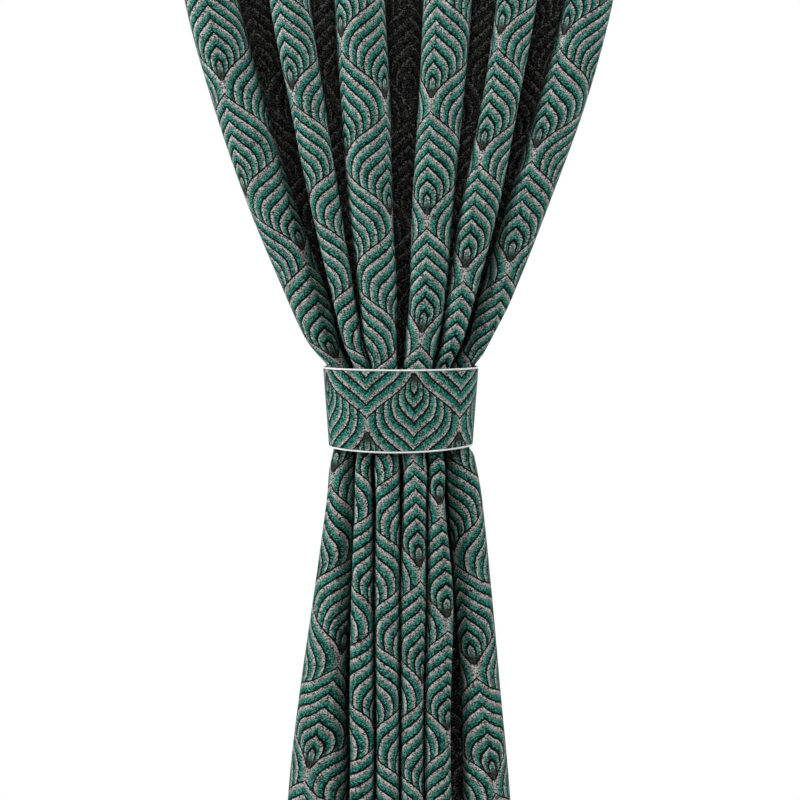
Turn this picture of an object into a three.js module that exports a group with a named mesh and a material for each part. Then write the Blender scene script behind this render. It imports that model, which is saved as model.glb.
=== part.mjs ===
import * as THREE from 'three';

// A blackout curtain panel of heavy figured cloth, hanging from its top edge and gathered
// at about half its height by a fabric tieback edged with white piping.
// Millimetres, +Z up. The origin is the centre of the panel's top edge and the front faces -Y.

// Panel cloth.
const PANEL_DROP = 2130;
const CLOTH_THICKNESS = 2;
const SIDE_MARGIN = 80; // cloth from an outer crest to the side hem
const FOLD_CLOTH = [242, 188, 280, 185, 245]; // cloth from each front crest to the next
const VALLEY_RADII = [10, 6, 15, 6, 10]; // least radius at the back of each valley
const WIDEST_VALLEY_RADIUS = 22;

// Level sections of the hanging panel. drop: distance below the top edge. crests: where the
// six front folds stand across the panel. radii: how round their fronts are. front: how far
// the middle folds come forward. bow: how much further back the outer two folds lie.
// tuckLeft, tuckRight: degrees by which the side hems turn in behind the outer folds.
const SECTIONS = [
  { drop: 0, crests: [-356, -211, -81, 87, 217, 355], radii: [30, 27, 30, 30, 27, 30],
    front: 30, bow: 0, tuckLeft: 0, tuckRight: 0 },
  { drop: 625, crests: [-233.5, -137, -51, 58, 143, 232.5], radii: [33, 24, 30, 29, 24, 29],
    front: 42, bow: 4, tuckLeft: 6, tuckRight: 6 },
  { drop: 748, crests: [-201, -116, -44, 50, 123, 200], radii: [32, 21, 30, 27, 22, 29],
    front: 43, bow: 6, tuckLeft: 8, tuckRight: 8 },
  { drop: 871, crests: [-162, -94, -38, 40, 99, 159.5], radii: [29, 18, 27, 25, 23, 25],
    front: 44, bow: 10, tuckLeft: 8, tuckRight: 10 },
  { drop: 994, crests: [-115, -70, -28, 33, 74, 117], radii: [25, 13, 23, 22, 16, 19],
    front: 46, bow: 18, tuckLeft: 6, tuckRight: 8 },
  { drop: 1043, crests: [-98, -60, -26, 26, 64, 98], radii: [19, 11, 20, 20, 12, 13],
    front: 47, bow: 20, tuckLeft: 5, tuckRight: 6 },
  { drop: 1062, crests: [-87.5, -53.5, -22.5, 23.3, 57.5, 87.5], radii: [14.8, 9.9, 17.3, 18.3, 10, 13.3],
    front: 46, bow: 22, tuckLeft: 4, tuckRight: 5 },
  { drop: 1077, crests: [-76.3, -48, -20, 21, 51, 77.2], radii: [13.1, 9, 15, 17, 8.5, 12.9],
    front: 45, bow: 24, tuckLeft: 4, tuckRight: 4 },
  { drop: 1176, crests: [-70.5, -44.5, -17, 16, 42.5, 70.5], radii: [12, 8, 14, 14, 8, 12],
    front: 43, bow: 23, tuckLeft: 4, tuckRight: 4 },
  { drop: 1184, crests: [-71.5, -45, -17, 16, 43, 73.5], radii: [12, 8, 14, 14, 8, 15.5],
    front: 43, bow: 23, tuckLeft: 4, tuckRight: 4 },
  { drop: 1204, crests: [-74, -46.5, -17, 18, 45, 76.2], radii: [14, 9, 15, 14, 9, 17.8],
    front: 45, bow: 23, tuckLeft: 4, tuckRight: 5 },
  { drop: 1240, crests: [-75, -46, -16, 17, 44, 79.8], radii: [16, 10, 14, 14, 9, 20.5],
    front: 46, bow: 20, tuckLeft: 5, tuckRight: 6 },
  { drop: 1363, crests: [-86, -48, -17, 15.5, 49, 91], radii: [22, 12.5, 14.5, 15, 15, 22],
    front: 44, bow: 16, tuckLeft: 6, tuckRight: 8 },
  { drop: 1486, crests: [-98, -48.5, -16.5, 14.5, 46.3, 100.5], radii: [28, 14, 13.5, 13.2, 15, 23.5],
    front: 42, bow: 10, tuckLeft: 6, tuckRight: 8 },
  { drop: 1603, crests: [-103.5, -48.5, -16.5, 14.5, 46.3, 107], radii: [36, 14, 13.5, 13.2, 15.5, 28],
    front: 41, bow: 6, tuckLeft: 6, tuckRight: 8 },
  { drop: 2130, crests: [-142, -66, -22, 20, 62, 138], radii: [37, 18, 17, 16, 19, 34],
    front: 38, bow: 0, tuckLeft: 6, tuckRight: 8 },
];
const BOW_POWER = 3;

// Faceting of the panel.
const FRONT_STEPS = 4;
const BACK_STEPS = 3;
const ROW_STEP = 125;
const LENGTH_STEP = 30;
const SOLVER_STEPS = 40;
const NEARLY_NOTHING = 1e-9;

// Tieback: a shaped band closed round the gathers, deepest in the middle of its front.
const BAND_TOP_DROP = 1082;
const BAND_HEIGHT = 98;
const BAND_THICKNESS = 2;
const BAND_CENTRE_Y = 23;
const UPPER_LOOP = { halfWidth: 97, halfDepth: 74 };
const LOWER_LOOP = { halfWidth: 90, halfDepth: 73 };
const BAND_SQUARENESS = 3.5;
const UPPER_RISE = 2.1; // each edge is this much higher by its sides than in the middle
const LOWER_RISE = 6.3;
const LOWER_SKEW = 1.1; // and the lower one is this much higher on the right, lower on the left
const BAND_STEPS = 56;
const PIPING_RADIUS = 1.2;
const PIPING_SIDES = 6;
const SEWN_GAP = 0.3;

const CLOTH_COLOR = 0x3f6b5f;
const PIPING_COLOR = 0xe9e9e5;

// ---------------------------------------------------------------- sections of the panel

// The slope of a column of the table at row i, for a smooth run between rows.
function slopeAt(read, i) {
  const before = SECTIONS[Math.max(i - 1, 0)];
  const after = SECTIONS[Math.min(i + 1, SECTIONS.length - 1)];
  return (read(after) - read(before)) / (after.drop - before.drop);
}

// A value read from the table at any drop, as a cubic through the rows.
function smooth(read, drop) {
  let i = 0;
  while (i < SECTIONS.length - 2 && SECTIONS[i + 1].drop < drop) i += 1;
  const upper = SECTIONS[i];
  const lower = SECTIONS[i + 1];
  const span = lower.drop - upper.drop;
  const t = (drop - upper.drop) / span;
  const rest = 1 - t;
  return read(upper) * (1 + 2 * t) * rest * rest
    + slopeAt(read, i) * span * t * rest * rest
    + read(lower) * t * t * (3 - 2 * t)
    - slopeAt(read, i + 1) * span * t * t * rest;
}

function crestAt(i, drop) {
  const x = smooth((row) => row.crests[i], drop);
  const radius = smooth((row) => row.radii[i], drop);
  const reach = smooth((row) => (row.crests.at(-1) - row.crests[0]) / 2, drop);
  const forward = smooth((row) => row.front, drop);
  const bow = smooth((row) => row.bow, drop);
  return { x, y: bow * Math.abs(x / reach) ** BOW_POWER - forward, radius };
}

// Half a fold: round the crest, straight along the wall, and round the back of the valley.
function halfFold(crest, valleyX, valleyRadius, valleyY) {
  const side = Math.sign(valleyX - crest.x);
  const dx = Math.abs(valleyX - crest.x);
  const dy = (valleyY - valleyRadius) - (crest.y + crest.radius);
  const radii = crest.radius + valleyRadius;
  const wall = Math.sqrt(Math.max(dx * dx + dy * dy - radii * radii, 0));
  const turn = Math.atan2(dy, dx) + Math.atan2(radii, wall);
  return { crest, side, turn, wall, valleyX, valleyY, valleyRadius, length: radii * turn + wall };
}

// The least depth of a valley at which its wall still fits between crest and valley.
function shallowest(crest, valleyX, valleyRadius) {
  const radii = crest.radius + valleyRadius;
  const across = Math.abs(valleyX - crest.x);
  if (across >= radii) return crest.y + valleyRadius;
  return crest.y + radii + Math.sqrt(radii * radii - across * across);
}

// Both halves of the valley between crests i and i + 1, as deep as its cloth makes it.
function valleyAt(i, drop) {
  const left = crestAt(i, drop);
  const right = crestAt(i + 1, drop);
  const gap = Math.max((right.x - right.radius) - (left.x + left.radius), 0);
  const x = (left.x + left.radius + right.x - right.radius) / 2;
  const radius = Math.min(Math.hypot(gap / 2, VALLEY_RADII[i]), WIDEST_VALLEY_RADIUS);
  let low = Math.max(shallowest(left, x, radius), shallowest(right, x, radius));
  let high = low + FOLD_CLOTH[i];
  for (let step = 0; step < SOLVER_STEPS; step += 1) {
    const middle = (low + high) / 2;
    const length = halfFold(left, x, radius, middle).length + halfFold(right, x, radius, middle).length;
    if (length < FOLD_CLOTH[i]) low = middle;
    else high = middle;
  }
  return [halfFold(left, x, radius, high), halfFold(right, x, radius, high)];
}

// The margin outside crest i: round the crest, then straight back to the side hem.
function marginAt(i, drop) {
  const crest = crestAt(i, drop);
  const side = i === 0 ? -1 : 1;
  const tuck = smooth((row) => (i === 0 ? row.tuckLeft : row.tuckRight), drop);
  const turn = THREE.MathUtils.degToRad(90 + tuck);
  return { crest, side, turn, wall: SIDE_MARGIN - crest.radius * turn, valleyRadius: 0, length: SIDE_MARGIN };
}

// Where the cloth lies at a length measured from the crest along one half fold.
function pointOn(half, length) {
  const { crest, side, turn, wall } = half;
  const front = crest.radius * turn;
  if (length > front + wall + NEARLY_NOTHING) {
    const angle = (half.length - length) / half.valleyRadius;
    return {
      x: half.valleyX - side * half.valleyRadius * Math.sin(angle),
      y: half.valleyY - half.valleyRadius * (1 - Math.cos(angle)),
    };
  }
  const angle = Math.min(length, front) / crest.radius;
  const along = Math.max(length - front, 0);
  return {
    x: crest.x + side * (crest.radius * Math.sin(angle) + along * Math.cos(turn)),
    y: crest.y + crest.radius * (1 - Math.cos(angle)) + along * Math.sin(turn),
  };
}

// ---------------------------------------------------------------- closed sheets

function addQuad(index, a, b, c, d) {
  index.push(a, b, c, a, c, d);
}

// A closed geometry from rows of points that go round a loop of faces, row by row.
function geometryOf(points, index) {
  const geometry = new THREE.BufferGeometry();
  geometry.setAttribute('position', new THREE.Float32BufferAttribute(points.flatMap((p) => p.toArray()), 3));
  geometry.setIndex(index);
  geometry.computeVertexNormals();
  return geometry;
}

// A sheet of even thickness on a grid of middle points: rows run down, columns to the right.
function sheetGeometry(grid, thickness) {
  const rows = grid.length;
  const columns = grid[0].length;
  const points = [];
  const normalAt = (r, c) => {
    const down = grid[Math.min(r + 1, rows - 1)][c].clone().sub(grid[Math.max(r - 1, 0)][c]);
    const right = grid[r][Math.min(c + 1, columns - 1)].clone().sub(grid[r][Math.max(c - 1, 0)]);
    return down.cross(right).normalize();
  };
  for (const face of [1, -1]) {
    for (let r = 0; r < rows; r += 1) {
      for (let c = 0; c < columns; c += 1) {
        points.push(grid[r][c].clone().addScaledVector(normalAt(r, c), (face * thickness) / 2));
      }
    }
  }
  const front = (r, c) => r * columns + c;
  const back = (r, c) => rows * columns + front(r, c);
  const index = [];
  for (let r = 0; r < rows - 1; r += 1) {
    for (let c = 0; c < columns - 1; c += 1) {
      addQuad(index, front(r, c), front(r + 1, c), front(r + 1, c + 1), front(r, c + 1));
      addQuad(index, back(r, c), back(r, c + 1), back(r + 1, c + 1), back(r + 1, c));
    }
    const last = columns - 1;
    addQuad(index, front(r, 0), back(r, 0), back(r + 1, 0), front(r + 1, 0));
    addQuad(index, front(r, last), front(r + 1, last), back(r + 1, last), back(r, last));
  }
  for (let c = 0; c < columns - 1; c += 1) {
    const last = rows - 1;
    addQuad(index, front(0, c), front(0, c + 1), back(0, c + 1), back(0, c));
    addQuad(index, front(last, c), back(last, c), back(last, c + 1), front(last, c + 1));
  }
  return geometryOf(points, index);
}

// A closed ring swept from sections of equal point counts, counter-clockwise seen along it.
function ringGeometry(sections) {
  const sides = sections[0].length;
  const index = [];
  sections.forEach((section, i) => {
    const next = (i + 1) % sections.length;
    for (let j = 0; j < sides; j += 1) {
      const turn = (j + 1) % sides;
      addQuad(index, i * sides + j, next * sides + j, next * sides + turn, i * sides + turn);
    }
  });
  return geometryOf(sections.flat(), index);
}

// ---------------------------------------------------------------- the panel

// The half folds from left to right; towardsCrest tells that one ends at its crest.
const HALVES = [{ halfAt: (drop) => marginAt(0, drop), towardsCrest: true }];
FOLD_CLOTH.forEach((cloth, i) => {
  HALVES.push({ halfAt: (drop) => valleyAt(i, drop)[0], towardsCrest: false });
  HALVES.push({ halfAt: (drop) => valleyAt(i, drop)[1], towardsCrest: true });
});
HALVES.push({ halfAt: (drop) => marginAt(FOLD_CLOTH.length, drop), towardsCrest: false });

// Lengths along a half fold, from its crest, at which the sheet has a column of points.
function stationsOn(half) {
  const front = half.crest.radius * half.turn;
  const back = half.valleyRadius * half.turn;
  const stations = [];
  for (let step = 0; step <= FRONT_STEPS; step += 1) stations.push((front * step) / FRONT_STEPS);
  stations.push(front + half.wall);
  if (back > 0) {
    for (let step = 1; step <= BACK_STEPS; step += 1) {
      stations.push(front + half.wall + (back * step) / BACK_STEPS);
    }
  }
  return stations;
}

// The section of the panel at one drop, as points from the left hem to the right hem.
function sectionPoints(drop) {
  const points = [];
  HALVES.forEach(({ halfAt, towardsCrest }, i) => {
    const half = halfAt(drop);
    const run = stationsOn(half).map((length) => pointOn(half, length));
    if (towardsCrest) run.reverse();
    if (i > 0) run.shift();
    points.push(...run.map(({ x, y }) => new THREE.Vector3(x, y, -drop)));
  });
  return points;
}

// How far each column's hem rises, because its cloth takes a longer way down than straight.
function hemRises() {
  let upper = sectionPoints(0);
  const lengths = upper.map(() => 0);
  const steps = Math.ceil(PANEL_DROP / LENGTH_STEP);
  for (let step = 1; step <= steps; step += 1) {
    const lower = sectionPoints((PANEL_DROP * step) / steps);
    lower.forEach((point, c) => { lengths[c] += point.distanceTo(upper[c]); });
    upper = lower;
  }
  return lengths.map((length) => length - PANEL_DROP);
}

// Drops of the rows: every section of the table, and between them steps of ROW_STEP at most.
function rowDrops() {
  const drops = [0];
  SECTIONS.slice(1).forEach(({ drop }, i) => {
    const above = SECTIONS[i].drop;
    const steps = Math.ceil((drop - above) / ROW_STEP);
    for (let step = 1; step <= steps; step += 1) drops.push(above + ((drop - above) * step) / steps);
  });
  return drops;
}

function curtainPanel() {
  const rises = hemRises();
  const tieDrop = BAND_TOP_DROP + BAND_HEIGHT;
  const grid = rowDrops().map((drop) => {
    const share = Math.max(drop - tieDrop, 0) / (PANEL_DROP - tieDrop);
    if (share === 0) return sectionPoints(drop);
    return rises.map((rise, c) => sectionPoints(drop - rise * share)[c]);
  });
  return sheetGeometry(grid, CLOTH_THICKNESS);
}

// ---------------------------------------------------------------- the tieback

// A point of the loop seen from above; angle 0 is the front, a quarter turn the right side.
function loopPoint(angle, loop, inset) {
  const across = Math.sin(angle);
  const along = Math.cos(angle);
  const power = 2 / BAND_SQUARENESS;
  const x = Math.sign(across) * Math.abs(across) ** power;
  const y = -Math.sign(along) * Math.abs(along) ** power;
  return new THREE.Vector3(x * (loop.halfWidth - inset), y * (loop.halfDepth - inset), 0);
}

function upperEdgeHeight(angle) {
  const across = loopPoint(angle, UPPER_LOOP, 0).x / UPPER_LOOP.halfWidth;
  return UPPER_RISE * across ** 2;
}

function lowerEdgeHeight(angle) {
  const across = loopPoint(angle, LOWER_LOOP, 0).x / LOWER_LOOP.halfWidth;
  return LOWER_RISE * across ** 2 + LOWER_SKEW * across - BAND_HEIGHT;
}

function loopAngles() {
  return Array.from({ length: BAND_STEPS }, (unused, i) => (2 * Math.PI * i) / BAND_STEPS);
}

function tiebackBand() {
  const sections = loopAngles().map((angle) => {
    const low = lowerEdgeHeight(angle);
    const high = upperEdgeHeight(angle);
    return [
      loopPoint(angle, UPPER_LOOP, 0).setZ(high),
      loopPoint(angle, UPPER_LOOP, BAND_THICKNESS).setZ(high),
      loopPoint(angle, LOWER_LOOP, BAND_THICKNESS).setZ(low),
      loopPoint(angle, LOWER_LOOP, 0).setZ(low),
    ];
  });
  return ringGeometry(sections);
}

// A cord sewn along an edge of the band, at a height given for each angle.
function piping(loop, heightAt) {
  const sections = loopAngles().map((angle) => {
    const outer = loopPoint(angle, loop, 0);
    const outward = outer.clone().sub(loopPoint(angle, loop, BAND_THICKNESS)).normalize();
    const middle = outer.addScaledVector(outward, -BAND_THICKNESS / 2).setZ(heightAt(angle));
    return Array.from({ length: PIPING_SIDES }, (unused, j) => {
      const round = (2 * Math.PI * j) / PIPING_SIDES;
      const point = middle.clone().addScaledVector(outward, PIPING_RADIUS * Math.cos(round));
      return point.setZ(middle.z + PIPING_RADIUS * Math.sin(round));
    });
  });
  return ringGeometry(sections);
}

// ---------------------------------------------------------------- the assembly

function clothMaterial(color) {
  return new THREE.MeshStandardMaterial({ color, roughness: 0.85, metalness: 0 });
}

function named(name, geometry, material) {
  const mesh = new THREE.Mesh(geometry, material);
  mesh.name = name;
  return mesh;
}

const clothing = clothMaterial(CLOTH_COLOR);
const cord = clothMaterial(PIPING_COLOR);
const edgeOffset = SEWN_GAP + PIPING_RADIUS;

const tieback = new THREE.Group();
tieback.position.set(0, BAND_CENTRE_Y, -BAND_TOP_DROP);
tieback.add(
  named('tieback_band', tiebackBand(), clothing),
  named('tieback_piping_top', piping(UPPER_LOOP, (angle) => upperEdgeHeight(angle) + edgeOffset), cord),
  named('tieback_piping_bottom', piping(LOWER_LOOP, (angle) => lowerEdgeHeight(angle) - edgeOffset), cord),
);

const curtain = new THREE.Group();
curtain.add(named('curtain_panel', curtainPanel(), clothing), tieback);

export default curtain;
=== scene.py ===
"""A figured blackout curtain panel, gathered at its middle by a fabric tieback with white piping."""

import math

import bpy
import numpy as np
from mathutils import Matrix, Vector


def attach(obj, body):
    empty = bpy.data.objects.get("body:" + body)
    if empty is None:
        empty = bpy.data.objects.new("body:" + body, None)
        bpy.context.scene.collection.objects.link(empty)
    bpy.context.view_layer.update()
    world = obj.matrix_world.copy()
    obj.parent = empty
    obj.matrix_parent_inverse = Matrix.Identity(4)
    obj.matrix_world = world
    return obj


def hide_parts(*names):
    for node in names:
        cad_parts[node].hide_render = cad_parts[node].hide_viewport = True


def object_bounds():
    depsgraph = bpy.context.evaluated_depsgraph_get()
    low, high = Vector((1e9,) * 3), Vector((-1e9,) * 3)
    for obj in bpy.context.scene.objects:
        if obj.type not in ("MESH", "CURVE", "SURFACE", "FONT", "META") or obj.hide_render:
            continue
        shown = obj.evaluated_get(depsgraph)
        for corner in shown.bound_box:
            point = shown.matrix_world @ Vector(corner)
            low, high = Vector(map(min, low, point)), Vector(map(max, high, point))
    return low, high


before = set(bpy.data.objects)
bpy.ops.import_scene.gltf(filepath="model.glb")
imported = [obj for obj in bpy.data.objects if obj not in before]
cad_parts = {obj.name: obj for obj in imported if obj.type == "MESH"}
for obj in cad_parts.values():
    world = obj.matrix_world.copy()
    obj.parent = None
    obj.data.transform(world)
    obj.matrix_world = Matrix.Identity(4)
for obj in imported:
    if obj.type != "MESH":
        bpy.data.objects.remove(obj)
cad_low, cad_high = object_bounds()

MM = 0.001

# ---------------------------------------------------------------- sizes, in millimetres

PANEL_DROP = 2130
PANEL_WIDTH = 1300
CLOTH_THICKNESS = 2
SIDE_MARGIN = 80          # cloth from an outer crest to the side hem
FOLD_CLOTH = (242, 188, 280, 185, 245)   # cloth from each front crest to the next
VALLEY_RADII = (10, 6, 15, 6, 10)        # least radius at the back of each valley
WIDEST_VALLEY_RADIUS = 22
BOW_POWER = 3

# Level sections of the hanging panel, as the CAD has them: how far below the top edge, where the
# six front folds stand, how round they are, how far the middle comes forward, how much further
# back the outer folds lie, and by how many degrees the left and right hems turn in.
SECTIONS = (
    # drop  crests                          radii                     front bow left right
    (0,    (-356, -211, -81, 87, 217, 355),              (30, 27, 30, 30, 27, 30),       30, 0, 0, 0),
    (625,  (-233.5, -137, -51, 58, 143, 232.5),          (33, 24, 30, 29, 24, 29),       42, 4, 6, 6),
    (748,  (-201, -116, -44, 50, 123, 200),              (32, 21, 30, 27, 22, 29),       43, 6, 8, 8),
    (871,  (-162, -94, -38, 40, 99, 159.5),              (29, 18, 27, 25, 23, 25),       44, 10, 8, 10),
    (994,  (-115, -70, -28, 33, 74, 117),                (25, 13, 23, 22, 16, 19),       46, 18, 6, 8),
    (1043, (-98, -60, -26, 26, 64, 98),                  (19, 11, 20, 20, 12, 13),       47, 20, 5, 6),
    (1062, (-87.5, -53.5, -22.5, 23.3, 57.5, 87.5),      (14.8, 9.9, 17.3, 18.3, 10, 13.3), 46, 22, 4, 5),
    (1077, (-76.3, -48, -20, 21, 51, 77.2),              (13.1, 9, 15, 17, 8.5, 12.9),   45, 24, 4, 4),
    (1176, (-70.5, -44.5, -17, 16, 42.5, 70.5),          (12, 8, 14, 14, 8, 12),         43, 23, 4, 4),
    (1184, (-71.5, -45, -17, 16, 43, 73.5),              (12, 8, 14, 14, 8, 15.5),       43, 23, 4, 4),
    (1204, (-74, -46.5, -17, 18, 45, 76.2),              (14, 9, 15, 14, 9, 17.8),       45, 23, 4, 5),
    (1240, (-75, -46, -16, 17, 44, 79.8),                (16, 10, 14, 14, 9, 20.5),      46, 20, 5, 6),
    (1363, (-86, -48, -17, 15.5, 49, 91),                (22, 12.5, 14.5, 15, 15, 22),   44, 16, 6, 8),
    (1486, (-98, -48.5, -16.5, 14.5, 46.3, 100.5),       (28, 14, 13.5, 13.2, 15, 23.5), 42, 10, 6, 8),
    (1603, (-103.5, -48.5, -16.5, 14.5, 46.3, 107),      (36, 14, 13.5, 13.2, 15.5, 28), 41, 6, 6, 8),
    (2130, (-142, -66, -22, 20, 62, 138),                (37, 18, 17, 16, 19, 34),       38, 0, 6, 8),
)
DROPS, CRESTS, RADII, FRONTS, BOWS, TUCK_LEFT, TUCK_RIGHT = (
    np.array(column, float) for column in zip(*SECTIONS))

# How far the hems' stitches lie from the cloth's edges, and the stitches and their groove.
SIDE_HEM = 30
TOP_HEM = 75
BOTTOM_HEM = 90
STITCH_LENGTH = 4.5
STITCH_WIDTH = 0.9
STITCH_ENDS = (0.15, 0.4)   # shares of a stitch over which it rises from the cloth
STITCH_RISE = 0.6           # of the weave's relief
GROOVE_WIDTH = 3

# The tieback. Its piping is sewn on with a small gap.
BAND_TOP_DROP = 1082
BAND_HEIGHT = 98
BAND_THICKNESS = 2
BAND_CENTRE_Y = 23
UPPER_LOOP = (97, 74)     # half width, half depth
LOWER_LOOP = (90, 73)
BAND_SQUARENESS = 3.5
UPPER_RISE = 2.1          # each edge is this much higher by its sides than in the middle
LOWER_RISE = 6.3
LOWER_SKEW = 1.1          # and the lower one is this much higher on the right, lower on the left
PIPING_RADIUS = 1.2
SEWN_GAP = 0.3

# The fineness of the meshes.
FRONT_STEPS = 7
WALL_STEPS = 3
BACK_STEPS = 4
PANEL_ROWS = 296
LEVEL_STEP = 5
CLOTH_STEP = 5
SOLVER_STEPS = 40
BAND_STEPS = 240
BAND_ROWS = 24
LOOP_STEPS = 4000
PIPING_STEPS = 480
PIPING_SIDES = 10
SHARP_ANGLE = 60          # degrees, for shading only
TOLERANCE = 0.001
BAKE_MARGIN = 0.005       # metres round the cloth on its baked picture

# ---------------------------------------------------------------- sections of the panel


def smooth(values, drops):
    """The table's values, rows first, read at any drops as a cubic through the rows."""
    values = values.reshape(len(DROPS), -1)
    after = np.minimum(np.arange(len(DROPS)) + 1, len(DROPS) - 1)
    before = np.maximum(np.arange(len(DROPS)) - 1, 0)
    slopes = (values[after] - values[before]) / (DROPS[after] - DROPS[before])[:, None]
    i = np.clip(np.searchsorted(DROPS, drops) - 1, 0, len(DROPS) - 2)
    span = (DROPS[i + 1] - DROPS[i])[:, None]
    t = (drops - DROPS[i])[:, None] / span
    rest = 1 - t
    return (values[i] * (1 + 2 * t) * rest**2 + slopes[i] * span * t * rest**2
            + values[i + 1] * t**2 * (3 - 2 * t) - slopes[i + 1] * span * t**2 * rest)


class Half:
    """Half a fold at every level: round its crest, along the wall and round the valley's back."""

    def __init__(self, x, y, radius, side, turn, wall, back_x, back_y, back_radius):
        self.x, self.y, self.radius, self.side = x, y, radius, side
        self.turn, self.wall = turn, wall
        self.back_x, self.back_y, self.back_radius = back_x, back_y, back_radius
        self.front = radius * turn
        self.length = self.front + wall + back_radius * turn

    def stations(self):
        """Lengths from the crest at which the mesh has columns: levels by stations."""
        front = self.front[:, None] * np.linspace(0, 1, FRONT_STEPS + 1)
        wall = self.front[:, None] + self.wall[:, None] * np.linspace(0, 1, WALL_STEPS + 1)[1:]
        parts = [front, wall]
        if self.back_radius.any():
            steps = np.linspace(0, 1, BACK_STEPS + 1)[1:]
            parts.append((self.front + self.wall)[:, None]
                         + (self.back_radius * self.turn)[:, None] * steps)
        return np.concatenate(parts, axis=1)

    def point(self, length):
        """x and y of the cloth at lengths from the crest: levels by lengths."""
        x, y, radius, turn, front, wall, total = (
            a[:, None] for a in (self.x, self.y, self.radius, self.turn, self.front,
                                 self.wall, self.length))
        angle = np.minimum(length, front) / radius
        along = np.maximum(length - front, 0)
        px = x + self.side * (radius * np.sin(angle) + along * np.cos(turn))
        py = y + radius * (1 - np.cos(angle)) + along * np.sin(turn)
        if self.back_radius.any():
            back_x, back_y, back = (a[:, None] for a in (self.back_x, self.back_y, self.back_radius))
            rest = (total - length) / back
            behind = length > front + wall
            px = np.where(behind, back_x - self.side * back * np.sin(rest), px)
            py = np.where(behind, back_y - back * (1 - np.cos(rest)), py)
        return px, py


def half_fold(crest, side, back_x, back_radius, back_y):
    """Half a fold between a crest and the back of a valley, its wall straight and touching both."""
    x, y, radius = crest
    dx = np.abs(back_x - x)
    dy = (back_y - back_radius) - (y + radius)
    radii = radius + back_radius
    wall = np.sqrt(np.maximum(dx**2 + dy**2 - radii**2, 0))
    turn = np.arctan2(dy, dx) + np.arctan2(radii, wall)
    return Half(x, y, radius, side, turn, wall, back_x, back_y, back_radius)


def shallowest(crest, back_x, back_radius):
    """The least depth of a valley at which its wall fits between crest and valley."""
    x, y, radius = crest
    radii = radius + back_radius
    across = np.abs(back_x - x)
    return y + np.where(across >= radii, back_radius,
                        radii + np.sqrt(np.maximum(radii**2 - across**2, 0)))


def half_folds(drops):
    """The panel's half folds from the left hem to the right, with their lengths of cloth."""
    crest_x, radii = smooth(CRESTS, drops), smooth(RADII, drops)
    reach = (crest_x[:, -1:] - crest_x[:, :1]) / 2
    crest_y = smooth(BOWS, drops) * np.abs(crest_x / reach)**BOW_POWER - smooth(FRONTS, drops)
    crests = [(crest_x[:, i], crest_y[:, i], radii[:, i]) for i in range(crest_x.shape[1])]
    none = np.zeros(len(drops))

    def margin(crest, side, tuck):
        turn = np.radians(90 + smooth(tuck, drops)[:, 0])
        return Half(*crest, side, turn, SIDE_MARGIN - crest[2] * turn, none, none, none)

    halves = [margin(crests[0], -1, TUCK_LEFT)]
    for i, cloth in enumerate(FOLD_CLOTH):
        left, right = crests[i], crests[i + 1]
        inner, outer = left[0] + left[2], right[0] - right[2]
        x = (inner + outer) / 2
        radius = np.minimum(np.hypot(np.maximum(outer - inner, 0) / 2, VALLEY_RADII[i]),
                            WIDEST_VALLEY_RADIUS)
        low = np.maximum(shallowest(left, x, radius), shallowest(right, x, radius))
        high = low + cloth
        for _ in range(SOLVER_STEPS):
            middle = (low + high) / 2
            length = sum(half_fold(*a, x, radius, middle).length for a in ((left, 1), (right, -1)))
            low = np.where(length < cloth, middle, low)
            high = np.where(length < cloth, high, middle)
        halves += [half_fold(left, 1, x, radius, high), half_fold(right, -1, x, radius, high)]
    halves.append(margin(crests[-1], 1, TUCK_RIGHT))
    return halves


# ---------------------------------------------------------------- the hanging cloth

CREST_LENGTHS = SIDE_MARGIN + np.concatenate([[0], np.cumsum(FOLD_CLOTH)])

# How far the cloth has rolled round each of the six folds, by the length down the cloth, and how
# much lower on the cloth each fold's figure lies.
FIGURE_ROLLS = (
    # down  roll                           lift
    (0,    (-20, -5, 5, 10, 14, 24),       (4, 2, 0, 0, 0, -10)),
    (690,  (-4, 1, 7, 10, 6, 9),           (5, 3, -1, -2, -1, -11)),
    (760,  (4, 4, 10, 9, 4, 4),            (5, 3, -3, -2, 0, -10)),
    (840,  (16, 11, 11, 6, 1, -1),         (4, 8, -2, -1, 0, -9)),
    (905,  (27, 12, 10, 2, -3, -7),        (3, 13, 1, 0, 0, -9)),
    (980,  (35, 14, 9, 0, -8, -17),        (4, 12, 3, 0, -1, -10)),
    (1060, (42, 18, 9, -3, -11, -27),      (4, 11, 5, 1, -2, -12)),
    (1200, (54, 30, 9, -2, -12, -41),      (6, 10, 6, 4, -8, -16)),
    (1350, (74, 30, 6, -12, -15, -56),     (5, 8, 7, 1, -3, -18)),
    (1490, (97, 26, 0, -19, -19, -70),     (-1, 6, 8, 2, 1, -15)),
    (1640, (126, 30, 0, -24, -25, -86),    (0, 6, 8, 0, 5, -14)),
    (2130, (150, 34, 0, -30, -32, -106),   (0, 6, 8, 0, 5, -10)),
)


def cloth_points(halves, lengths):
    """x and y of the cloth at lengths from its left hem: levels by lengths."""
    x, y = np.zeros_like(lengths), np.zeros_like(lengths)
    for k, half in enumerate(halves):
        length = half.side * (lengths - CREST_LENGTHS[k // 2])
        total = half.length[:, None]
        here = (length >= -TOLERANCE) & (length <= total + TOLERANCE)
        px, py = half.point(np.clip(length, 0, total))
        x, y = np.where(here, px, x), np.where(here, py, y)
    return x, y


def column_lengths(halves):
    """Lengths from the left hem at which the mesh has its columns: levels by columns."""
    parts = []
    for k, half in enumerate(halves):
        lengths = CREST_LENGTHS[k // 2] + half.side * half.stations()
        if half.side < 0:
            lengths = lengths[:, ::-1]
        parts.append(lengths[:, min(k, 1):])
    return np.concatenate(parts, axis=1)


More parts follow.
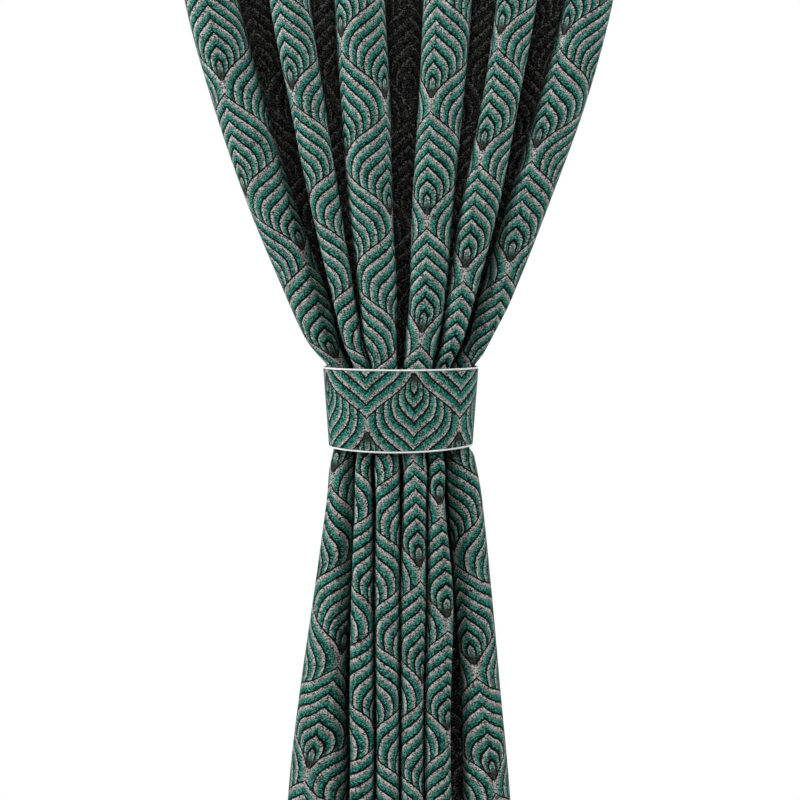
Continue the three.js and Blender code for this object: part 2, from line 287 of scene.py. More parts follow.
def hanging_panel():
    """The cloth's middle surface and its flat place: rows by columns, in millimetres."""
    levels = np.linspace(0, PANEL_DROP, PANEL_DROP // LEVEL_STEP + 1)
    across = np.linspace(0, PANEL_WIDTH, PANEL_WIDTH // CLOTH_STEP + 1)
    halves = half_folds(levels)
    x, y = cloth_points(halves, np.tile(across, (len(levels), 1)))
    steps = np.sqrt(np.diff(x, axis=0)**2 + np.diff(y, axis=0)**2 + np.diff(levels)[:, None]**2)
    down = np.vstack([np.zeros(len(across)), np.cumsum(steps, axis=0)])
    lengths = column_lengths(halves)
    x, y = cloth_points(halves, lengths)
    rows = np.linspace(0, PANEL_DROP, PANEL_ROWS + 1)
    columns = []
    for c in range(lengths.shape[1]):
        own_down = np.array([np.interp(lengths[i, c], across, down[i]) for i in range(len(levels))])
        level = np.interp(rows, own_down, levels)
        own = [np.interp(level, levels, values[:, c]) for values in (x, y, lengths)]
        columns.append(np.stack([own[0], own[1], -level, own[2], rows], axis=1))
    made = np.stack(columns, axis=1)
    return made[:, :, :3], made[:, :, 3:]


def column_depths():
    """How deep in a valley each column lies, for the painted valley shade: 0 round the crests, up to 1 at
    the bottom.
    """
    steps = np.arange(FRONT_STEPS + WALL_STEPS + BACK_STEPS + 1)
    inward = np.clip((steps - FRONT_STEPS + 1) / (WALL_STEPS + BACK_STEPS - 2), 0, 1)
    margin = np.zeros(FRONT_STEPS + WALL_STEPS + 1)
    fold = np.concatenate([inward[1:], inward[-2::-1]])
    return np.concatenate([margin, np.tile(fold, len(FOLD_CLOTH)), margin[1:]])


def hem_distances(flat):
    """How far each point lies inside the nearest hem's stitches; less than 0 in a hem."""
    across, down = flat[..., 0], flat[..., 1]
    return np.minimum.reduce([across - across.min() - SIDE_HEM, across.max() - across - SIDE_HEM,
                              down - TOP_HEM, down.max() - down - BOTTOM_HEM])


def figure_places(flat):
    """Where each point of the cloth lies on its woven figure, for how the folds have rolled."""
    down, rolls, lifts = (np.array(column, float) for column in zip(*FIGURE_ROLLS))
    moved = flat.copy()
    for axis, table in ((0, rolls), (1, lifts)):
        for r, row in enumerate(flat):
            at_crests = [np.interp(row[0, 1], down, table[:, i]) for i in range(table.shape[1])]
            moved[r, :, axis] += np.interp(row[:, 0], CREST_LENGTHS, at_crests)
    return moved


def sheet_mesh(name, points, flat, figure, thickness, ring=False):
    """A closed sheet round a middle surface. Its place on the figure is kept as UV in metres.

    points, flat and figure are rows by columns, in millimetres; a ring's last two have one more.
    """
    rows, columns = points.shape[:2]
    if ring:
        right = np.roll(points, -1, axis=1) - np.roll(points, 1, axis=1)
    else:
        right = np.gradient(points, axis=1)
    normal = np.cross(np.gradient(points, axis=0), right)
    normal /= np.linalg.norm(normal, axis=2, keepdims=True)
    verts = np.concatenate([(points + side * normal * thickness / 2).reshape(-1, 3)
                            for side in (1, -1)])
    behind = rows * columns

    def quads(r, c, corners, material, out=(0, 0)):
        """Faces from corners (row step, column step, 1 if on the back), as indices and places."""
        r, c = (a.ravel() for a in np.meshgrid(r, c, indexing="ij"))
        index = [(r + dr) * columns + (c + dc) % columns + back * behind for dr, dc, back in corners]
        place = [np.concatenate([grid[r + dr, c + dc] + np.multiply(out, back * thickness)
                                 for grid in (flat, figure)], axis=1) for dr, dc, back in corners]
        return (np.stack(index, 1), np.stack(place, 1), np.full(len(r), material))

    all_r, all_c = np.arange(rows - 1), np.arange(columns if ring else columns - 1)
    last_r, last_c = np.array([rows - 1]), np.array([columns - 1])
    first = np.array([0])
    groups = [
        quads(all_r, all_c, ((0, 0, 0), (1, 0, 0), (1, 1, 0), (0, 1, 0)), 0),
        quads(all_r, all_c, ((0, 0, 1), (0, 1, 1), (1, 1, 1), (1, 0, 1)), 1),
        quads(first, all_c, ((0, 0, 0), (0, 1, 0), (0, 1, 1), (0, 0, 1)), 0, (0, -1)),
        quads(last_r, all_c, ((0, 0, 0), (0, 0, 1), (0, 1, 1), (0, 1, 0)), 0, (0, 1)),
    ]
    if not ring:
        groups += [
            quads(all_r, first, ((0, 0, 0), (0, 0, 1), (1, 0, 1), (1, 0, 0)), 0, (-1, 0)),
            quads(all_r, last_c, ((0, 0, 0), (1, 0, 0), (1, 0, 1), (0, 0, 1)), 0, (1, 0)),
        ]
    faces, places, materials = (np.concatenate(parts) for parts in zip(*groups))
    mesh = bpy.data.meshes.new(name)
    mesh.from_pydata((verts * MM).tolist(), [], faces.tolist())
    mesh.polygons.foreach_set("material_index", materials)
    mesh.shade_smooth()
    mesh.set_sharp_from_angle(angle=math.radians(SHARP_ANGLE))
    loops, on_figure = np.split(places.reshape(-1, 4) * MM, 2, axis=1)
    on_back = np.repeat(materials, 4)[:, None] * np.array([[1.0, 0.0]])
    wide, tall = np.ptp(loops, axis=0) + 2 * BAKE_MARGIN
    bake = loops - loops.min(axis=0) + BAKE_MARGIN + on_back * wide
    bake /= max(2 * wide, tall)
    for layer, values in (("FlatCloth", on_figure), ("OFBake", bake)):
        mesh.uv_layers.new(name=layer).data.foreach_set("uv", values.ravel())
    mesh.validate()
    return mesh


def piece(name, mesh, materials, node):
    """A new object for a mesh, which takes the place of a CAD node."""
    obj = bpy.data.objects.new(name, mesh)
    bpy.context.collection.objects.link(obj)
    for material in materials:
        mesh.materials.append(material)
    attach(obj, "root")
    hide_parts(node)
    return obj


# ---------------------------------------------------------------- the tieback

def loop_shape(loop, inset):
    """The band's section seen from above: dense points and their lengths from its back."""
    a, b = loop[0] - inset, loop[1] - inset
    polar = np.linspace(-np.pi, np.pi, LOOP_STEPS + 1)
    reach = ((np.abs(np.sin(polar)) / a)**BAND_SQUARENESS
             + (np.abs(np.cos(polar)) / b)**BAND_SQUARENESS)**(-1 / BAND_SQUARENESS)
    x, y = reach * np.sin(polar), -reach * np.cos(polar)
    length = np.concatenate([[0], np.cumsum(np.hypot(np.diff(x), np.diff(y)))])
    return x, y, length


def loop_points(loop, inset, shares):
    """x and y on the band's section at shares of its length from the back, and its whole length."""
    x, y, length = loop_shape(loop, inset)
    return (np.interp(shares, length / length[-1], x), np.interp(shares, length / length[-1], y),
            length[-1])


def upper_edge(x):
    """Height of the band's upper edge, from its middle, at each place across the upper loop."""
    return UPPER_RISE * (x / UPPER_LOOP[0])**2


def lower_edge(x):
    """Height of the band's lower edge, from the same, at each place across the lower loop."""
    across = x / LOWER_LOOP[0]
    return LOWER_RISE * across**2 + LOWER_SKEW * across - BAND_HEIGHT


def band_surface(inset, rows, steps):
    """Points of the band, rows by steps, with their flat places; the first step is at the back."""
    shares = np.linspace(0, 1, steps + 1)
    upper_x, upper_y, round_it = loop_points(UPPER_LOOP, inset, shares)
    lower_x, lower_y, _ = loop_points(LOWER_LOOP, inset, shares)
    low = lower_edge(lower_x)
    down = np.linspace(0, 1, rows + 1)[:, None]
    height = upper_edge(upper_x) * (1 - down) + low * down
    points = np.stack([upper_x * (1 - down) + lower_x * down,
                       upper_y * (1 - down) + lower_y * down + BAND_CENTRE_Y,
                       height - BAND_TOP_DROP], axis=2)
    flat = np.stack([np.broadcast_to((shares - 0.5) * round_it, points.shape[:2]),
                     -height], axis=2)
    return points, flat


def cord_mesh(name, middle, outward, radius, length):
    """A closed round cord along a ring of points, with its place along and round it as UV."""
    steps = len(middle)
    angles = np.linspace(0, 2 * np.pi, PIPING_SIDES, endpoint=False)
    up = np.array([0.0, 0.0, 1.0])
    verts = (middle[:, None] + radius * (np.cos(angles)[None, :, None] * outward[:, None]
                                         + np.sin(angles)[None, :, None] * up))
    r, c = (a.ravel() for a in np.meshgrid(np.arange(steps), np.arange(PIPING_SIDES), indexing="ij"))
    corners = ((0, 0), (1, 0), (1, 1), (0, 1))
    faces = np.stack([(r + dr) % steps * PIPING_SIDES + (c + dc) % PIPING_SIDES
                      for dr, dc in corners], 1)
    mesh = bpy.data.meshes.new(name)
    mesh.from_pydata((verts.reshape(-1, 3) * MM).tolist(), [], faces.tolist())
    mesh.shade_smooth()
    round_it = 2 * math.pi * radius
    places = np.stack([np.stack([(r + dr) / steps * length, (c + dc) / PIPING_SIDES * round_it], 1)
                       for dr, dc in corners], 1).reshape(-1, 2) * MM
    mesh.uv_layers.new(name="FlatCloth").data.foreach_set("uv", places.ravel())
    return mesh


def piping_mesh(name, loop, edge, offset):
    """A cord along an edge of the band, at an offset above or below it."""
    shares = np.linspace(0, 1, PIPING_STEPS, endpoint=False)
    x, y, length = loop_points(loop, BAND_THICKNESS / 2, shares)
    height = edge(loop_points(loop, 0, shares)[0]) + offset
    tangent = np.stack([np.roll(x, -1) - np.roll(x, 1), np.roll(y, -1) - np.roll(y, 1)], 1)
    tangent /= np.linalg.norm(tangent, axis=1, keepdims=True)
    outward = np.stack([tangent[:, 1], -tangent[:, 0], np.zeros(len(x))], 1)
    middle = np.stack([x, y + BAND_CENTRE_Y, height - BAND_TOP_DROP], 1)
    return cord_mesh(name, middle, outward, PIPING_RADIUS, length)


# ---------------------------------------------------------------- materials

def linear(red, green, blue):
    """A colour given as 0 to 255 on screen, as the linear colour that shaders take."""
    parts = [c / 255 for c in (red, green, blue)]
    return [c / 12.92 if c <= 0.04045 else ((c + 0.055) / 1.055)**2.4 for c in parts] + [1]


SILVER = (linear(30, 28, 28), linear(222, 214, 211))
TEAL = (linear(2, 40, 36), linear(18, 130, 114))
MINT = linear(108, 190, 175)
# Colours of the dark lines, which also paint the shade before each line.
LINE_AND_SHADE = (linear(0, 1, 1), linear(12, 18, 16))
TAIL = (linear(6, 12, 11), linear(60, 72, 67))
# Painted shade at the bottom of the valleys: black with pale specks.
VALLEY_SHADE_BLACK = linear(0, 0, 0)
VALLEY_SHADE_SPECK_COLOUR = linear(206, 192, 168)
REVERSE = (linear(20, 44, 38), linear(52, 84, 74))
THREAD = linear(30, 62, 56)
CORD = (linear(214, 216, 216), linear(255, 255, 255))
FLOOR = linear(232, 232, 230)


class Num:
    """A number that varies over a surface: the output of a node, with arithmetic."""

    def __init__(self, tree, socket):
        self.tree, self.socket = tree, socket

    def math(self, operation, *others):
        return self.tree.math(operation, self, *others)

    def __add__(self, other):
        return self.math("ADD", other)

    def __sub__(self, other):
        return self.math("SUBTRACT", other)

    def __mul__(self, other):
        return self.math("MULTIPLY", other)

    def __truediv__(self, other):
        return self.math("DIVIDE", other)

    def __pow__(self, other):
        return self.math("POWER", other)

    def between(self, low, high):
        """0 at low and beyond it, 1 at high and beyond it, smooth between."""
        node = self.tree.node("ShaderNodeMapRange", interpolation_type="SMOOTHSTEP", clamp=True)
        for socket, value in zip(node.inputs, (self, low, high, 0, 1)):
            self.tree.set(socket, value)
        return Num(self.tree, node.outputs[0])

    def pick(self, if_zero, if_one):
        """if_zero where this is 0, if_one where it is 1, mixed between."""
        node = self.tree.node("ShaderNodeMix", data_type="FLOAT")
        for socket, value in zip((node.inputs[0], node.inputs[2], node.inputs[3]),
                                 (self, if_zero, if_one)):
            self.tree.set(socket, value)
        return Num(self.tree, node.outputs[0])

    def paint(self, if_zero, if_one):
        """The same for two colours."""
        node = self.tree.node("ShaderNodeMix", data_type="RGBA")
        for socket, value in zip((node.inputs[0], node.inputs[6], node.inputs[7]),
                                 (self, if_zero, if_one)):
            self.tree.set(socket, value)
        return node.outputs[2]


class Tree:
    """A material and short ways to make its nodes."""

    def __init__(self, name):
        self.material = bpy.data.materials.new(name)
        self.material.use_nodes = True
        self.shader = self.material.node_tree.nodes["Principled BSDF"]

    def node(self, kind, **settings):
        node = self.material.node_tree.nodes.new(kind)
        for name, value in settings.items():
            setattr(node, name, value)
        return node

    def set(self, socket, value):
        if isinstance(value, Num):
            value = value.socket
        if isinstance(value, bpy.types.NodeSocket):
            self.material.node_tree.links.new(value, socket)
        else:
            socket.default_value = value

    def math(self, operation, *values):
        node = self.node("ShaderNodeMath", operation=operation)
        for socket, value in zip(node.inputs, values):
            self.set(socket, value)
        return Num(self, node.outputs[0])

    def place(self):
        """The flat place on the cloth, in millimetres, as two numbers."""
        uv = self.node("ShaderNodeUVMap", uv_map="FlatCloth")
        parts = self.node("ShaderNodeSeparateXYZ")
        self.set(parts.inputs[0], uv.outputs[0])
        return Num(self, parts.outputs[0]) / MM, Num(self, parts.outputs[1]) / MM

    def vector(self, x, y):
        node = self.node("ShaderNodeCombineXYZ")
        for socket, value in zip(node.inputs, (x, y)):
            self.set(socket, value)
        return node.outputs[0]

    def noise(self, vector, scale, detail=2.0, rough=0.5):
        node = self.node("ShaderNodeTexNoise")
        self.set(node.inputs["Vector"], vector)
        node.inputs["Scale"].default_value = scale
        node.inputs["Detail"].default_value = detail
        node.inputs["Roughness"].default_value = rough
        return Num(self, node.outputs[0])

    def specks(self, u, v, width, height):
        """Two random numbers for each float of thread, in staggered rows, and 0 to 1 from its middle."""
        down = v / height
        row = down.math("FLOOR")
        across = u / width + row.math("FLOORED_MODULO", 2) * 0.5
        column = across.math("FLOOR")
        node = self.node("ShaderNodeTexWhiteNoise", noise_dimensions="2D")
        self.set(node.inputs["Vector"], self.vector(column, row))
        parts = self.node("ShaderNodeSeparateColor")
        self.set(parts.inputs[0], node.outputs["Color"])
        from_middle = ((across - column - 0.5)**2 + (down - row - 0.5)**2) * 2
        return Num(self, parts.outputs[0]), Num(self, parts.outputs[1]), from_middle

    def attribute(self, name):
        return Num(self, self.node("ShaderNodeAttribute", attribute_name=name).outputs["Fac"])

    def hem(self, u, v):
        """The stitches of the hems and the groove they lie in, each from 0 to 1."""
        off = self.attribute("hem").math("ABSOLUTE")
        along = ((u + v) / STITCH_LENGTH).math("FRACT").math("PINGPONG", 0.5) * 2
        return (off.between(STITCH_WIDTH, STITCH_WIDTH / 2) * along.between(*STITCH_ENDS),
                off.between(GROOVE_WIDTH, 0))

    def finish(self, color, height, distance, hem_place):
        """Set the colour and the relief, with the stitches of the hems if there are any."""
        if hem_place:
            stitches, groove = self.hem(*hem_place)
            color = stitches.paint(color, THREAD)
            height = height + stitches * STITCH_RISE - groove
        self.set(self.shader.inputs["Base Color"], color)
        self.bump(height, distance)

    def bump(self, height, distance):
        node = self.node("ShaderNodeBump")
        node.inputs["Strength"].default_value = 1
        node.inputs["Distance"].default_value = distance
        self.set(node.inputs["Height"], height)
        self.set(self.shader.inputs["Normal"], node.outputs[0])


# The woven figure: rows of pointed scales, each half over the two behind it, filled with nested
# chevrons. Sizes in millimetres; shares are of half the repeat across.
HALF_REPEAT = 59.7
REPEAT_DOWN = 145.8
SCALE_DEPTH = 1.87        # from its tip to its heart
SCALE_SLOPE = 0.78        # of the edges beside its tip
SCALE_SPIRE = 0.85        # under 1, the edges are steeper at the very tip
SCALE_SPREAD = 0.04       # how much wider the outermost edge spreads than the chevrons within
SPREAD_FROM = 0.8
SCALE_HEART = 0.03        # half the innermost chevron's width
OUTER_CORNER = 7          # how tightly the edges turn down, near the tip
INNER_CORNER = 4          # and deeper in
CORNER_CHANGE = (0.95, 1.5)
NARROW_FROM = 1.25        # below here the chevrons' legs draw in again
NARROWING = 1.1
CHEVRONS = 6
CHEVRON_END = 0.905       # share of the scale's depth they take, in even steps
PLAIN_CHEVRONS = 3        # the outer ones, with thin dark lines
LINE_SHARE = 0.135        # of a chevron's step
LINE_GROWTH = 0.045       # for each chevron farther in
LINE_EDGES = (1.25, 0.9)  # of the line's own share, where it starts and is full
LINE_SPECKS = 0.05        # how far random floats shift its edge
SHADOW_FROM = 0.86        # painted shade: of a step, where the cloth is drawn darker again before the next line, as in its groove's shade
SHADOW = 0.75
PANEL_SILVER = 0.505      # of a step, where the silver ends on the panel and on the tieback
BAND_SILVER = 0.465
SILVER_GROWTH = 0.01
SILVER_SOFTNESS = 0.24
FLOAT_SHIFT = 0.34        # how far single floats of thread shift the silver's edge
LUMP_SHIFT = 0.2          # and lumps of the weave
LUMPS = (0.35, 2.0, 0.6)  # scale, detail and roughness of the lumps
TAIL_START, TAIL_END = 1.92, 2.06
TAIL_SHIFT = 0.2
TEAL_SHADE = 0.35         # painted shade: how much darker the teal is drawn towards the next dark line
MINT_FLOATS = (0.72, 0.88)
MINT_SHARE = 0.65
NECK_ACROSS = (0.84, 1)   # where two scales' edges run together, without dark lines
NECK_DOWN = (0.85, 1)
NECK_LINES = (0.7, 0.95)  # over which the dark lines fade there
NECK_PINCH = 0.13         # how much narrower the silver is there

# Floats of thread: width and height on the cloth in millimetres, and the look of the weave. The
# relief is in millimetres and the rises and sinks are shares of it.
FIGURE_FLOAT = (1.3, 1.1)
FLOAT_SHADE = 0.3         # painted shade: how much darker the cloth is drawn towards each float's edges, between floats
FIGURE_ROUGHNESS = 0.74
SILVER_GLEAM = 0.18       # how much smoother the silver is
FLOAT_ROUGHNESS = 0.12
FIGURE_SPECULAR = 0.05
SILVER_RISE = 0.15
LINE_SINK = 0.3
FLOAT_RISE = 0.4
FLOAT_CROWN = 0.3
FIGURE_RELIEF = 0.5

# Painted shade deep in the valleys, where little light reaches: the cloth is drawn greyer and darker
# there, and its figure as pale specks on black.
VALLEY_SHADE_FADE = 0.85          # painted shade: how much greyer the cloth is drawn towards the bottom of a valley
VALLEY_SHADE_DARKENING = 0.05         # and how much darker, also painted shade
VALLEY_SHADE_SPECKS = 0.88        # how far its figure is painted there as pale specks on black, for the valley's shade
VALLEY_SHADE_FLOATS = (0.4, 1.0)  # floats that are pale there
VALLEY_SHADE_GROUND = 0.3         # share of them where the figure is teal, all where it is silver
VALLEY_SHADE_LINE = 0.7           # and how much fewer on a dark line

REVERSE_FLOAT = (1.2, 1.0)
REVERSE_LUMPS = (0.02, 3.0)
REVERSE_ROUGHNESS = (0.82, 0.1)
REVERSE_SPECULAR = 0.25
REVERSE_MIX = (0.7, 0.3)  # of floats and lumps
REVERSE_RISE, REVERSE_CROWN = 0.6, 0.5
REVERSE_RELIEF = 0.4

CORD_FLOAT = (0.9, 0.7)
CORD_TWIST = (1.1, 0.8)   # turns of thread for each millimetre along and round
CORD_MIX = (0.6, 0.4)     # of turns and floats
CORD_ROUGHNESS = (0.6, 0.15)
CORD_SPECKS = 0.3
CORD_RELIEF = 0.15


def scale_level(tree, x, y):
    """1 on a scale's outline and 0 at its heart, x across from its axis and y down from its tip."""
    corner = y.between(*CORNER_CHANGE).pick(OUTER_CORNER, INNER_CORNER)
    narrow = (y - NARROW_FROM).math("MAXIMUM", 0)**2 * NARROWING + 1
    spread = x.between(SPREAD_FROM, 1) * -SCALE_SPREAD + 1
    side = (x * narrow * spread * (1 - SCALE_HEART) + (x - 1) * SCALE_HEART).math("MAXIMUM", 0)
    slope = (x**SCALE_SPIRE * SCALE_SLOPE - y + SCALE_DEPTH).math("MAXIMUM", 0) / SCALE_DEPTH
    return (side**corner + slope**corner)**(corner.math("POWER", -1))


def figured_cloth(name, start, upward, silver_share, hemmed=False):
    """Cloth with the woven figure. start is where one scale's tip lies, upward 1 or -1 its way."""
    tree = Tree(name)
    u, v = tree.place()
    half_rise = REPEAT_DOWN / 2 / HALF_REPEAT
    across = (u - start[0]) / HALF_REPEAT
    rows = (v - start[1]) * (upward * 2 / REPEAT_DOWN)
    row = rows.math("FLOOR")
    y = (rows - row) * half_rise
    x = (across + row.math("FLOORED_MODULO", 2)).math("PINGPONG", 1)
    over = scale_level(tree, x, y)
    under = scale_level(tree, x * -1 + 1, y + half_rise)
    hidden = over.math("GREATER_THAN", 1)
    level = hidden.pick(over, under)
    depth = hidden.pick(y, y + half_rise)
    ring = (level * -1 + 1).math("MAXIMUM", 0) * (CHEVRONS / CHEVRON_END)
    inner = ring.math("FLOOR")
    share = ring - inner
    growth = (inner - PLAIN_CHEVRONS).math("MAXIMUM", 0)

    lump = tree.noise(tree.vector(u, v), *LUMPS)
    speck, fine, from_middle = tree.specks(u, v, *FIGURE_FLOAT)
    ragged = (speck - 0.5) * FLOAT_SHIFT + (lump - 0.5) * LUMP_SHIFT
    neck = x.between(*NECK_ACROSS) * y.between(*NECK_DOWN)
    line_share = growth * LINE_GROWTH + LINE_SHARE
    dark_line_and_shade = share + (fine - 0.5) * LINE_SPECKS
    dark_line_and_shade = dark_line_and_shade.between(*(line_share * edge for edge in LINE_EDGES))
    # Painted shade: the cloth drawn darker before the next dark line, as in its groove's shade.
    dark_line_and_shade = (dark_line_and_shade + share.between(SHADOW_FROM, 1) * SHADOW).math("MINIMUM", 1)
    dark_line_and_shade = dark_line_and_shade * (neck.between(*NECK_LINES) * -1 + 1)
    silver_end = growth * SILVER_GROWTH + silver_share
    silver = share + ragged + neck * NECK_PINCH - silver_end
    silver = silver.between(SILVER_SOFTNESS, -SILVER_SOFTNESS)
    tail = (depth + ragged * TAIL_SHIFT).between(TAIL_START, TAIL_END) * hidden

    grain = speck.between(0, 1)
    # Painted shade: the teal drawn darker towards the next dark line.
    teal = (grain - share.between(0.5, 1) * TEAL_SHADE).between(0, 1).paint(*TEAL)
    teal = (fine.between(*MINT_FLOATS) * MINT_SHARE).paint(teal, MINT)
    color = silver.paint(teal, grain.paint(*SILVER))
    # The dark lines, with the painted shade before them.
    color = dark_line_and_shade.paint(color, grain.paint(*LINE_AND_SHADE))
    color = tail.paint(color, grain.paint(*TAIL))
    # Painted shade in the valleys: greyer, darker, and pale specks on black towards their bottom.
    deep = tree.attribute("deep")
    pale = speck.between(*VALLEY_SHADE_FLOATS) * silver.pick(VALLEY_SHADE_GROUND, 1) * (dark_line_and_shade * -VALLEY_SHADE_LINE + 1)
    color = (deep * VALLEY_SHADE_SPECKS).paint(color, pale.paint(VALLEY_SHADE_BLACK, VALLEY_SHADE_SPECK_COLOUR))
    painted_shade = tree.node("ShaderNodeHueSaturation")
    tree.set(painted_shade.inputs["Saturation"], deep * -VALLEY_SHADE_FADE + 1)
    # Painted shade: darker deep in the valleys and towards each float's edges.
    tree.set(painted_shade.inputs["Value"], deep * -VALLEY_SHADE_DARKENING + 1 - from_middle * FLOAT_SHADE)
    tree.set(painted_shade.inputs["Color"], color)
    tree.set(tree.shader.inputs["Roughness"],
             silver * -SILVER_GLEAM + fine * FLOAT_ROUGHNESS + FIGURE_ROUGHNESS)
    tree.shader.inputs["Specular IOR Level"].default_value = FIGURE_SPECULAR
    height = (silver * SILVER_RISE - dark_line_and_shade * LINE_SINK + speck * FLOAT_RISE
              - from_middle * FLOAT_CROWN)
    tree.finish(painted_shade.outputs[0], height, FIGURE_RELIEF * MM, (u, v) if hemmed else None)
    return tree.material


def plain_weave(name, dark, pale, hemmed=False):
    """The reverse of the cloth: an even close weave."""
    tree = Tree(name)
    u, v = tree.place()
    speck, _, from_middle = tree.specks(u, v, *REVERSE_FLOAT)
    lump = tree.noise(tree.vector(u, v), *REVERSE_LUMPS)
    even, varied = REVERSE_ROUGHNESS
    tree.set(tree.shader.inputs["Roughness"], speck * varied + even)
    tree.shader.inputs["Specular IOR Level"].default_value = REVERSE_SPECULAR
    color = (speck * REVERSE_MIX[0] + lump * REVERSE_MIX[1]).paint(dark, pale)
    height = speck * REVERSE_RISE - from_middle * REVERSE_CROWN
    tree.finish(color, height, REVERSE_RELIEF * MM, (u, v) if hemmed else None)
    return tree.material


def white_cord(name):
    """Piping: fine white cloth wound over a cord."""
    tree = Tree(name)
    along, round_it = tree.place()
    turns = along * CORD_TWIST[0] + round_it * CORD_TWIST[1]
    thread = turns.math("FRACT").math("PINGPONG", 0.5) * 2
    speck, _, _ = tree.specks(along, round_it, *CORD_FLOAT)
    shade = thread * CORD_MIX[0] + speck * CORD_MIX[1]
    tree.set(tree.shader.inputs["Base Color"], shade.paint(*CORD))
    even, varied = CORD_ROUGHNESS
    tree.set(tree.shader.inputs["Roughness"], speck * varied + even)
    tree.bump(thread + speck * CORD_SPECKS, CORD_RELIEF * MM)
    return tree.material


# ---------------------------------------------------------------- the curtain

PANEL_TIP = (786.418, 760)   # a scale's tip on the flat panel, from its upper left corner
BAND_TIP = (16.5, 132.5)     # and one beyond the tieback's lower edge, from its upper middle

panel_cloth = figured_cloth("figured_cloth", PANEL_TIP, 1, PANEL_SILVER, hemmed=True)
band_cloth = figured_cloth("figured_cloth_tieback", BAND_TIP, -1, BAND_SILVER)
reverse_cloth = plain_weave("cloth_reverse", *REVERSE, hemmed=True)
tieback_reverse = plain_weave("tieback_reverse", *REVERSE)
cord_cloth = white_cord("white_piping")

panel_points, panel_flat = hanging_panel()
panel_mesh = sheet_mesh("curtain_cloth", panel_points, panel_flat, figure_places(panel_flat),
                        CLOTH_THICKNESS)
# How deep in a valley each point lies, for the painted valley shade, and how far inside the hems.
for layer, values in (("deep", np.tile(column_depths(), PANEL_ROWS + 1)),
                      ("hem", hem_distances(panel_flat).ravel())):
    panel_mesh.attributes.new(layer, "FLOAT", "POINT").data.foreach_set("value", np.tile(values, 2))
panel = piece("curtain_cloth", panel_mesh, (panel_cloth, reverse_cloth), "curtain_panel")

band_points, band_flat = band_surface(BAND_THICKNESS / 2, BAND_ROWS, BAND_STEPS)
band_mesh = sheet_mesh("tieback_cloth", band_points[:, :-1], band_flat, band_flat, BAND_THICKNESS,
                       ring=True)
band = piece("tieback_cloth", band_mesh, (band_cloth, tieback_reverse), "tieback_band")

EDGE_OFFSET = SEWN_GAP + PIPING_RADIUS
top_mesh = piping_mesh("piping_top", UPPER_LOOP, upper_edge, EDGE_OFFSET)
bottom_mesh = piping_mesh("piping_bottom", LOWER_LOOP, lower_edge, -EDGE_OFFSET)
pipings = [piece("piping_top", top_mesh, (cord_cloth,), "tieback_piping_top"),
           piece("piping_bottom", bottom_mesh, (cord_cloth,), "tieback_piping_bottom")]
upper_length, lower_length = (loop_points(loop, BAND_THICKNESS / 2, np.zeros(1))[2]
                              for loop in (UPPER_LOOP, LOWER_LOOP))
band_heights = np.ptp(band_flat[..., 1], axis=0)
float((upper_length + lower_length) / 2 * band_heights.mean()) * MM**2

# ---------------------------------------------------------------- floor, light and camera

CAMERA_REACH = 3.5
CAMERA_RISE = math.radians(2.25)
CAMERA_LENS = 128
AIM = Vector((-1 * MM, -45 * MM, -1117 * MM))
FLOOR_GAP = 12 * MM
FLOOR_RADIUS = 1.6
FLOOR_SIDES = 96
FLOOR_ROUGHNESS = 0.9
SOFT_SKY = 0.04           # for diffuse light; camera, glossy and transmitted rays see white
WHITE_SKY = 1.0
LIGHTS = (
    # name, azimuth and elevation in degrees, reach and size in metres, power in watts
    ("left", -68, 26, 2.6, (0.7, 1.8), 81),
    ("right", 68, 26, 2.6, (0.7, 1.8), 50),
    ("front", 0, 32, 4.2, (1.6, 1.6), 31),
    ("back", 180, 20, 3.4, (1.4, 1.8), 40),
)

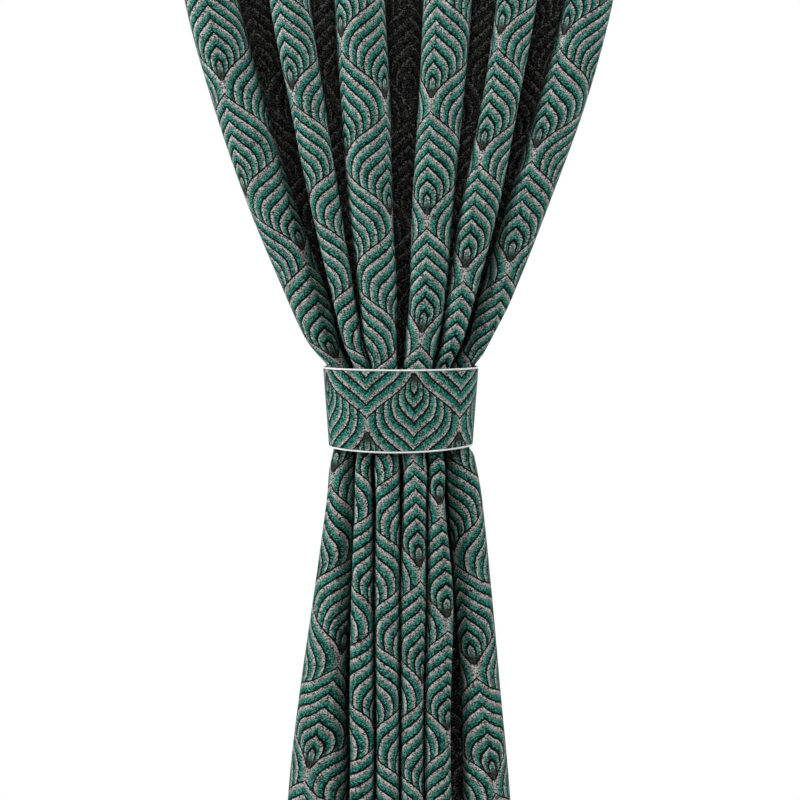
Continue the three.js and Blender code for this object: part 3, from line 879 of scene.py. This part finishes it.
world = bpy.data.worlds.new("studio")
bpy.context.scene.world = world
world.use_nodes = True
nodes, links = world.node_tree.nodes, world.node_tree.links
soft, white = nodes["Background"], nodes.new("ShaderNodeBackground")
soft.inputs["Color"].default_value = (1, 1, 1, 1)
soft.inputs["Strength"].default_value = SOFT_SKY
white.inputs["Color"].default_value = (1, 1, 1, 1)
white.inputs["Strength"].default_value = WHITE_SKY
path, mix = nodes.new("ShaderNodeLightPath"), nodes.new("ShaderNodeMixShader")
either, seen = nodes.new("ShaderNodeMath"), nodes.new("ShaderNodeMath")
either.operation = seen.operation = "MAXIMUM"
links.new(path.outputs["Is Camera Ray"], either.inputs[0])
links.new(path.outputs["Is Glossy Ray"], either.inputs[1])
links.new(either.outputs[0], seen.inputs[0])
links.new(path.outputs["Is Transmission Ray"], seen.inputs[1])
links.new(seen.outputs[0], mix.inputs[0])
links.new(soft.outputs[0], mix.inputs[1])
links.new(white.outputs[0], mix.inputs[2])
links.new(mix.outputs[0], nodes["World Output"].inputs["Surface"])

floor_mesh = bpy.data.meshes.new("floor")
turns = np.linspace(0, 2 * np.pi, FLOOR_SIDES, endpoint=False)
floor_mesh.from_pydata([(FLOOR_RADIUS * math.cos(a), FLOOR_RADIUS * math.sin(a), 0) for a in turns],
                       [], [list(range(len(turns)))])
floor = bpy.data.objects.new("floor", floor_mesh)
floor.location.z = cad_low.z - FLOOR_GAP
bpy.context.collection.objects.link(floor)
floor_tree = Tree("pale_floor")
floor_tree.shader.inputs["Base Color"].default_value = FLOOR
floor_tree.shader.inputs["Roughness"].default_value = FLOOR_ROUGHNESS
floor_mesh.materials.append(floor_tree.material)


def area_light(name, azimuth, elevation, reach, size, power):
    """A soft light that looks at the tie from an azimuth and elevation in degrees."""
    data = bpy.data.lights.new(name, "AREA")
    data.shape = "RECTANGLE"
    data.size, data.size_y = size
    data.energy = power
    light = bpy.data.objects.new(name, data)
    bpy.context.collection.objects.link(light)
    a, e = math.radians(azimuth), math.radians(elevation)
    back = Vector((math.sin(a) * math.cos(e), -math.cos(a) * math.cos(e), math.sin(e)))
    light.location = AIM + back * reach
    light.rotation_euler = (-back).to_track_quat("-Z", "Y").to_euler()


for lamp in LIGHTS:
    area_light(*lamp)

camera_data = bpy.data.cameras.new("camera")
camera_data.lens = CAMERA_LENS
camera = bpy.data.objects.new("camera", camera_data)
bpy.context.collection.objects.link(camera)
toward = Vector((0, -math.cos(CAMERA_RISE), math.sin(CAMERA_RISE)))
camera.location = AIM + toward * CAMERA_REACH
camera.rotation_euler = (-toward).to_track_quat("-Z", "Y").to_euler()
bpy.context.scene.camera = camera
bpy.context.scene.view_settings.view_transform = "Standard"
